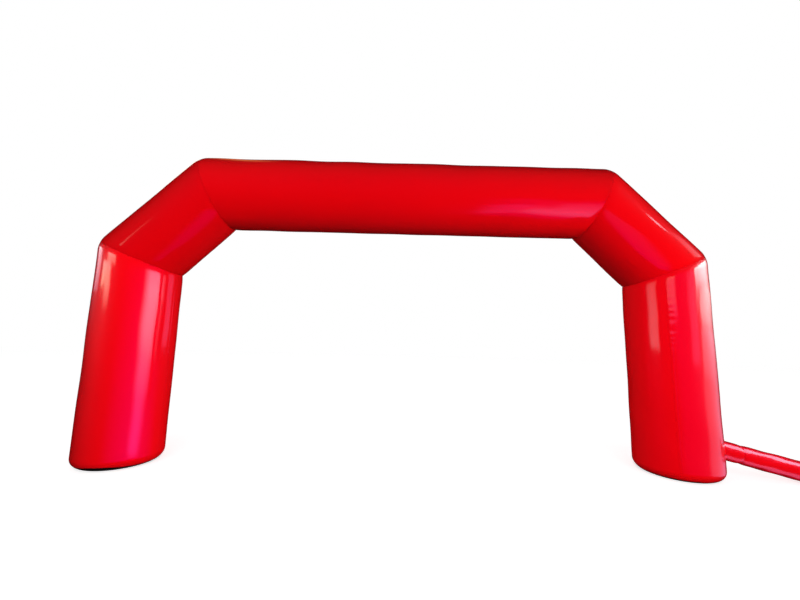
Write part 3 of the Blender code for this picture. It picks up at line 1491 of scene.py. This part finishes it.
@dataclass(frozen=True)
class Fill:
    """A soft light that shapes the cloth, set on its own for each group of pieces.

    Attributes:
        name: The light's name.
        facing: What it faces, across from the gateway's middle.
        bearings: The bearings of its two sides as seen from there.
        heights: The heights of its lower and upper edge.
        distance: How far away it stands.
        levels: How bright it is for each group, in the order of the groups.
    """

    name: str
    facing: float
    bearings: tuple[float, float]
    heights: tuple[float, float]
    distance: float
    levels: tuple[float, ...]

    def boxes(self, groups: dict[str, tuple[str, ...]]) -> list[Softbox]:
        """Give the softboxes that make up the light.

        Args:
            groups: The pieces of each group.

        Returns:
            One box for each group that the light reaches.
        """
        place = (self.facing, self.bearings, self.heights, self.distance, Purpose.SHAPING)
        return [
            Softbox(f"{self.name}_{group}", *place, (level,) * 3, lights=pieces)
            for level, (group, pieces) in zip(self.levels, groups.items())
            if level
        ]


@dataclass(frozen=True)
class Panel:
    """A bright panel of a wall.

    Attributes:
        name: The light's name.
        bearings: The bearings of its two sides.
        heights: The heights of its lower and upper edge.
        tint: The brightness of its upper edge in red, green and blue.
        low_tint: The brightness of its lower edge.
        feather: The share of the width over which each side fades out.
    """

    name: str
    bearings: tuple[float, float]
    heights: tuple[float, float]
    tint: tuple[float, float, float]
    low_tint: tuple[float, float, float]
    feather: tuple[float, float]


@dataclass(frozen=True)
class Wall:
    """Bright panels that the gloss of some pieces mirrors.

    Attributes:
        pieces: The pieces whose gloss shows the panels.
        facing: What the panels face, across from the gateway's middle.
        distance: How far away they stand.
        panels: The panels.
    """

    pieces: tuple[str, ...]
    facing: float
    distance: float
    panels: tuple[Panel, ...]

    def boxes(self) -> list[Softbox]:
        """Give the panels as softboxes.

        Returns:
            One box for each panel.
        """
        return [
            Softbox(
                panel.name, self.facing, panel.bearings, panel.heights, self.distance, Purpose.GLOSS,
                panel.tint, panel.low_tint, self.pieces, panel.feather,
            )
            for panel in self.panels
        ]


@dataclass(frozen=True)
class PhotoCamera:
    """The camera as the photograph was taken: in front, near the middle, eye high.

    Attributes:
        across: How far right of the gateway's middle it stands.
        away: How far it stands in front of the arch.
        height: How high it stands.
        turn: How far it is turned to the right.
        tilt: How far it looks up.
        roll: How far it leans to the left.
        lens: Its focal length, in millimetres.
        frame_width: The width of its frame, in millimetres.
        sight: How far it sees.
    """

    across: float = -0.0892
    away: float = 4.6717
    height: float = 1.5065
    turn: float = 0.00882
    tilt: float = 0.13038
    roll: float = 0.02331
    lens: float = 15.81
    frame_width: float = 36.0
    sight: float = 500.0

    def build(self, middle: float) -> None:
        """Set the camera up and look through it.

        Args:
            middle: The gateway's middle along X.
        """
        lens = bpy.data.cameras.new("photo_camera")
        lens.sensor_width = self.frame_width
        lens.lens = self.lens
        lens.clip_end = self.sight
        camera = bpy.data.objects.new("photo_camera", lens)
        bpy.context.scene.collection.objects.link(camera)
        place = Matrix.Translation((middle + self.across, -self.away, self.height))
        turn = Matrix.Rotation(-self.turn, 4, "Z")
        tilt = Matrix.Rotation(pi / 2 + self.tilt, 4, "X")
        roll = Matrix.Rotation(self.roll, 4, "Z")
        camera.matrix_world = place @ turn @ tilt @ roll
        bpy.context.scene.camera = camera


@dataclass(frozen=True)
class Studio:
    """The plain pale floor, the soft lights, the surrounding glow and the camera.

    Attributes:
        layout: Where the arch stands.
        camera: The camera.
        floor_radius: The floor's radius.
        floor_rings: The number of rings of points on it.
        floor_columns: The number of steps round each ring.
        floor_colour: The floor's colour.
        floor_worn: Its colour in the patches.
        floor_patches: The number of patches a metre.
        floor_wear: How much of the second colour the patches show.
        floor_roughness: Its roughness.
        floor_glow: The colour that it gives off itself, so that it stays pale.
        glow_above: The strength of the surrounding glow above.
        glow_below: Its strength below.
        glow_climb: Between which heights of a unit direction it goes from one to the other.
    """

    layout: Layout
    camera: PhotoCamera = PhotoCamera()
    floor_radius: float = 60.0
    floor_rings: int = 12
    floor_columns: int = 96
    floor_colour: tuple[float, float, float, float] = (0.88, 0.88, 0.88, 1.0)
    floor_worn: tuple[float, float, float, float] = (0.84, 0.84, 0.84, 1.0)
    floor_patches: float = 0.8
    floor_wear: float = 0.2
    floor_roughness: float = 0.9
    floor_glow: tuple[float, float, float, float] = (0.74, 0.74, 0.74, 1.0)
    glow_above: float = 0.4
    glow_below: float = 0.15
    glow_climb: tuple[float, float] = (-0.25, 0.35)

    def floor(self) -> None:
        """Lay the floor: rings round the arch, wider and wider apart."""
        ring = np.geomspace(1.0, self.floor_radius, self.floor_rings)[:, None]
        angle = np.linspace(0.0, FULL_TURN, self.floor_columns + 1)
        spread = ring * np.ones_like(angle)
        points = np.stack((spread * np.cos(angle), spread * np.sin(angle), 0 * spread), axis=-1)
        skin = Skin(points[::-1], points[::-1, :, :2], last_pole=np.zeros(3))
        mesh = skin.mesh("floor")
        kit = FinishKit("pale_floor")
        wear = kit.noise(self.floor_patches, 2.0) * self.floor_wear
        kit.feed(kit.shader.inputs["Base Color"], kit.blend(wear, self.floor_colour, self.floor_worn))
        kit.feed(kit.shader.inputs["Roughness"], self.floor_roughness)
        kit.feed(kit.shader.inputs["Emission Color"], self.floor_glow)
        kit.feed(kit.shader.inputs["Emission Strength"], 1.0)
        mesh.materials.append(kit.material)
        floor = bpy.data.objects.new("floor", mesh)
        bpy.context.scene.collection.objects.link(floor)
        floor.visible_diffuse = False
        floor.visible_glossy = False
        floor.visible_shadow = False

    def glow(self) -> None:
        """Surround the arch with a soft glow, dim below, which the camera sees as white."""
        world = bpy.data.worlds.new("studio_glow")
        bpy.context.scene.world = world
        world.use_nodes = True
        world.cycles_visibility.glossy = False
        kit = NodeKit(world.node_tree)
        kit.tree.nodes.clear()
        place = kit.node("ShaderNodeTexCoord", {}, {}).outputs["Generated"]
        up = Number(kit, kit.node("ShaderNodeSeparateXYZ", {}, {0: place}).outputs["Z"])
        strength = up.mapped(*self.glow_climb, self.glow_below, self.glow_above, Easing.LINEAR)
        soft = kit.node("ShaderNodeBackground", {}, {"Strength": strength}).outputs[0]
        white = kit.node("ShaderNodeBackground", {}, {"Color": (1.0, 1.0, 1.0, 1.0)}).outputs[0]
        seen = kit.node("ShaderNodeLightPath", {}, {}).outputs["Is Camera Ray"]
        pick = kit.node("ShaderNodeMixShader", {}, {0: seen, 1: soft, 2: white}).outputs[0]
        kit.node("ShaderNodeOutputWorld", {}, {0: pick})

    def fills(self) -> tuple[Fill, ...]:
        """Give the lights that shape the cloth.

        Returns:
            The lights, with their levels for the left leg, the left shoulder, the beam, the right
            shoulder and the right leg.
        """
        return (
            Fill("front_low_fill", 0.0, (-25.0, 25.0), (0.0, 2.0), 7.0, (1.5, 2.0, 1.3, 1.5, 2.5)),
            Fill("front_high_fill", 0.0, (-25.0, 25.0), (2.0, 6.0), 10.0, (1.8, 1.5, 1.0, 3.0, 3.0)),
            Fill("front_left_low_fill", 0.0, (-70.0, -25.0), (0.0, 2.0), 8.0, (0.0, 1.0, 0.5, 0.0, 1.5)),
            Fill("front_left_high_fill", 0.0, (-70.0, -25.0), (2.0, 6.0), 10.0, (1.5, 2.0, 2.0, 0.0, 2.5)),
            Fill("front_right_low_fill", 0.0, (25.0, 70.0), (0.0, 2.0), 8.0, (2.5, 2.0, 1.8, 1.5, 1.5)),
            Fill("front_right_high_fill", 0.0, (25.0, 70.0), (2.0, 6.0), 10.0, (3.5, 2.5, 0.0, 2.5, 0.5)),
            Fill("right_fill", 3.0, (80.0, 115.0), (0.0, 5.0), 10.0, (1.5, 1.5, 0.0, 1.0, 0.0)),
            Fill("right_low_fill", 3.0, (40.0, 110.0), (-4.0, 0.0), 7.0, (4.5, 3.5, 0.0, 0.5, 2.0)),
            Fill("left_back_fill", -3.0, (-160.0, -110.0), (0.0, 5.0), 10.0, (0.0, 0.0, 0.0, 0.0, 2.0)),
            Fill("right_back_fill", 3.0, (120.0, 160.0), (0.0, 5.0), 10.0, (3.0, 2.0, 0.0, 0.0, 0.0)),
            Fill("back_fill", 0.0, (155.0, 205.0), (0.0, 6.0), 10.0, (3.0, 3.0, 3.0, 3.0, 3.0)),
            Fill("left_end_fill", -2.4, (-40.0, 10.0), (2.0, 5.0), 4.0, (1.8, 0.0, 1.5, 0.5, 1.0)),
            Fill("right_end_fill", 2.4, (-20.0, 40.0), (0.5, 3.0), 4.0, (3.0, 2.5, 3.5, 2.0, 1.5)),
        )

    def left_walls(self) -> tuple[Wall, ...]:
        """Give the panels that the left leg and the left shoulder mirror.

        Returns:
            The walls that the panels make up.
        """
        leg, shoulder = ("tube_leg_left",), ("tube_shoulder_left",)
        window = (
            Panel("left_window_foot", (46, 88), (-4.6, -1.5), (2.4, 0.6, 2.4), (3.0, 0.3, 3.0), (0.45, 0.5)),
            Panel("left_window_low", (44, 96), (-1.5, 0.5), (3.4, 1.8, 3.4), (2.4, 0.6, 2.4), (0.4, 0.5)),
            Panel("left_window", (42, 104), (0.5, 3.9), (6.4, 4.8, 6.4), (3.4, 1.8, 3.4), (0.4, 0.5)),
            Panel("left_window_head", (42, 108), (3.9, 7.5), (4.0, 2.2, 4.0), (6.4, 4.8, 6.4), (0.35, 0.45)),
        )
        lamp = (
            Panel("left_lamp", (-62, -40), (2.8, 4.0), (4.5, 3.6, 2.8), (0.0, 0.0, 0.0), (0.3, 0.2)),
            Panel("left_lamp_middle", (-78, -42), (4.0, 5.1), (5.0, 4.6, 4.2), (5.5, 4.5, 3.0), (0.2, 0.2)),
            Panel("left_lamp_head", (-64, -30), (5.1, 7.4), (5.5, 5.0, 4.4), (4.0, 3.4, 2.6), (0.3, 0.2)),
            Panel("left_corner", (-108, -84), (3.8, 7.4), (4.0, 3.6, 3.8), (0.8, 0.6, 0.8), (0.1, 0.1)),
            Panel("left_strip", (113, 136), (1.4, 7.0), (0.7, 0.3, 0.7), (1.2, 0.5, 1.2), (0.1, 0.2)),
            Panel("left_halo", (-15, 62), (-5.5, 5.5), (0.2, 0.0, 0.2), (0.4, 0.0, 1.0), (0.8, 0.0)),
            Panel("left_far_halo", (62, 125), (-5.5, 0.5), (0.2, 0.0, 0.2), (0.4, 0.0, 0.8), (0.0, 0.7)),
        )
        streak = (
            Panel("left_streak", (-42.5, -37.5), (5.4, 8.0), (0.6, 0.5, 0.4), (2.4, 2.0, 1.6), (0.3, 0.3)),
        )
        glow = (
            Panel("left_glow", (15, 75), (-3.0, 0.8), (0.5, 0.0, 0.4), (0.3, 0.0, 0.3), (0.4, 0.4)),
        )
        rim = (
            Panel("left_back_lamp", (-158, -138), (7.0, 15.0), (3.0, 2.4, 1.8), (3.0, 2.4, 1.8), (0, 0)),
        )
        return (
            Wall(leg, -3.5, 20, window),
            Wall(leg, -3.5, 16, lamp),
            Wall(shoulder, -3.4, 16, streak),
            Wall(shoulder, -2.6, 4, glow),
            Wall(shoulder, -2.8, 16, rim),
        )

    def beam_walls(self) -> tuple[Wall, ...]:
        """Give the panels that the beam mirrors.

        Returns:
            The walls that the panels make up.
        """
        beam = ("tube_top_beam",)
        rim = (
            Panel("beam_back_lamp", (-149, -135), (8.0, 12.5), (0.8, 0.3, 0.1), (0.9, 0.3, 0.1), (0.2, 0.2)),
        )
        glow = (
            Panel("beam_glow_high", (16.7, 50), (0.6, 2.6), (0.3, 0.1, 0.4), (1.8, 0.8, 1.9), (0.1, 0)),
            Panel("beam_glow", (16.7, 50), (-0.8, 0.6), (1.8, 0.8, 1.9), (0.4, 0.0, 0.4), (0.1, 0)),
            Panel("beam_veil", (-12, 50), (-2.6, 2.9), (0.3, 0.0, 0.3), (0.3, 0.0, 0.3), (0.4, 0)),
            Panel("beam_glow_left", (-12, 16.7), (-0.8, 1.9), (0.6, 0.1, 0.6), (0.8, 0.2, 0.8), (0.6, 0)),
        )
        return (Wall(beam, -2.15, 5, rim), Wall(beam, 2.0, 3, glow))

    def right_walls(self) -> tuple[Wall, ...]:
        """Give the panels that the right shoulder, the right leg and the sleeve mirror.

        Returns:
            The walls that the panels make up.
        """
        leg, shoulder, sleeve = ("tube_leg_right",), ("tube_shoulder_right",), ("stub_cloth", "sleeve_cloth")
        window = (
            Panel(
                "right_window_head", (47, 118), (4.4, 8.0), (14.0, 14.0, 14.0), (4.0, 4.0, 4.0),
                (0.05, 0.7),
            ),
            Panel("right_window", (56, 125), (2.6, 4.4), (4.8, 4.8, 4.6), (1.8, 1.4, 1.6), (0.1, 0.7)),
            Panel(
                "right_window_middle", (50, 125), (0.2, 2.6), (2.2, 1.8, 2.2), (1.0, 0.7, 1.0),
                (0.1, 0.6),
            ),
            Panel("right_window_foot", (42, 118), (-6.0, 0.2), (0.8, 0.6, 0.8), (1.0, 0.5, 1.0), (0.2, 0.3)),
            Panel("right_far_window", (-86, -54), (1.6, 7.0), (1.2, 0.9, 0.8), (2.2, 2.0, 2.2), (0.35, 0.2)),
            Panel("right_slit", (-30, -5), (3.0, 6.5), (1.8, 1.8, 1.4), (1.2, 0.3, 1.2), (0.15, 0.3)),
            Panel("right_second_slit", (20, 48), (1.2, 7.0), (0.4, 0.2, 0.4), (1.0, 0.4, 1.0), (0.3, 0.3)),
            Panel("right_veil", (-30, 60), (-6.0, 7.0), (0.3, 0.0, 0.3), (0.2, 0.0, 0.2), (0.3, 0.3)),
        )
        glow = (
            Panel("right_glow", (-28, 20), (0.0, 2.5), (0.5, 0.1, 0.5), (0.6, 0.0, 0.6), (0.3, 0.4)),
        )
        haze = (
            Panel("right_haze", (64, 98), (8.5, 12.5), (0.5, 0.3, 0.4), (1.6, 1.3, 1.4), (0.3, 0.3)),
        )
        spot = (
            Panel("right_spot", (58, 66), (11.5, 12.7), (8.0, 6.0, 7.0), (8.0, 6.0, 7.0), (0.2, 0.2)),
        )
        across = (
            Panel("sleeve_window", (-80, 80), (2.4, 32.0), (5.0, 4.4, 6.0), (6.5, 5.6, 7.5), (0, 0)),
            Panel("sleeve_floor_glow", (-80, 80), (-32.0, -2.2), (1.6, 0.8, 1.6), (0.2, 0.0, 0.2), (0, 0)),
        )
        return (
            Wall(leg, 3.5, 16, window),
            Wall(shoulder, 2.9, 4, glow),
            Wall(shoulder, 3.3, 16, haze),
            Wall(shoulder, 3.1, 16, spot),
            Wall(sleeve, 4.8, 2.5, across),
        )

    def windows(self) -> list[Softbox]:
        """Give all the panels that the gloss of the cloth mirrors."""
        walls = (*self.left_walls(), *self.beam_walls(), *self.right_walls())
        return [box for wall in walls for box in wall.boxes()]

    def lights(self) -> None:
        """Set up the lights that shape the cloth, the windows and the wash over the floor."""
        groups = {
            "left_leg": ("tube_leg_left", "base_panel_left"),
            "left_shoulder": ("tube_shoulder_left",),
            "beam": ("tube_top_beam",),
            "right_shoulder": ("tube_shoulder_right",),
            "right_leg": ("tube_leg_right", "base_panel_right", "stub_cloth", "sleeve_cloth"),
        }
        wash = Softbox(
            "floor_wash", 0.0, (-35.0, 35.0), (6.0, 16.0), 16.0, Purpose.SHAPING, (2.0, 2.0, 2.0),
            lights=("floor",),
        )
        fills = [box for fill in self.fills() for box in fill.boxes(groups)]
        for box in (wash, *fills, *self.windows()):
            box.build(self.layout.middle)

    def build(self) -> None:
        """Set up everything round the arch."""
        self.camera.build(self.layout.middle)
        self.floor()
        self.glow()
        self.lights()
        bpy.context.scene.view_settings.view_transform = "Standard"


def main() -> None:
    """Build the arch, its sleeve and the studio in order."""
    logging.basicConfig(level=logging.INFO, format="%(message)s")
    layout = Layout.read()
    red = RED_CLOTH.material()
    Arch(layout).build(red, BLACK_CLOTH.material())
    BlowerSleeve(layout).build(red)
    Studio(layout).build()


if __name__ == "__main__":
    main()
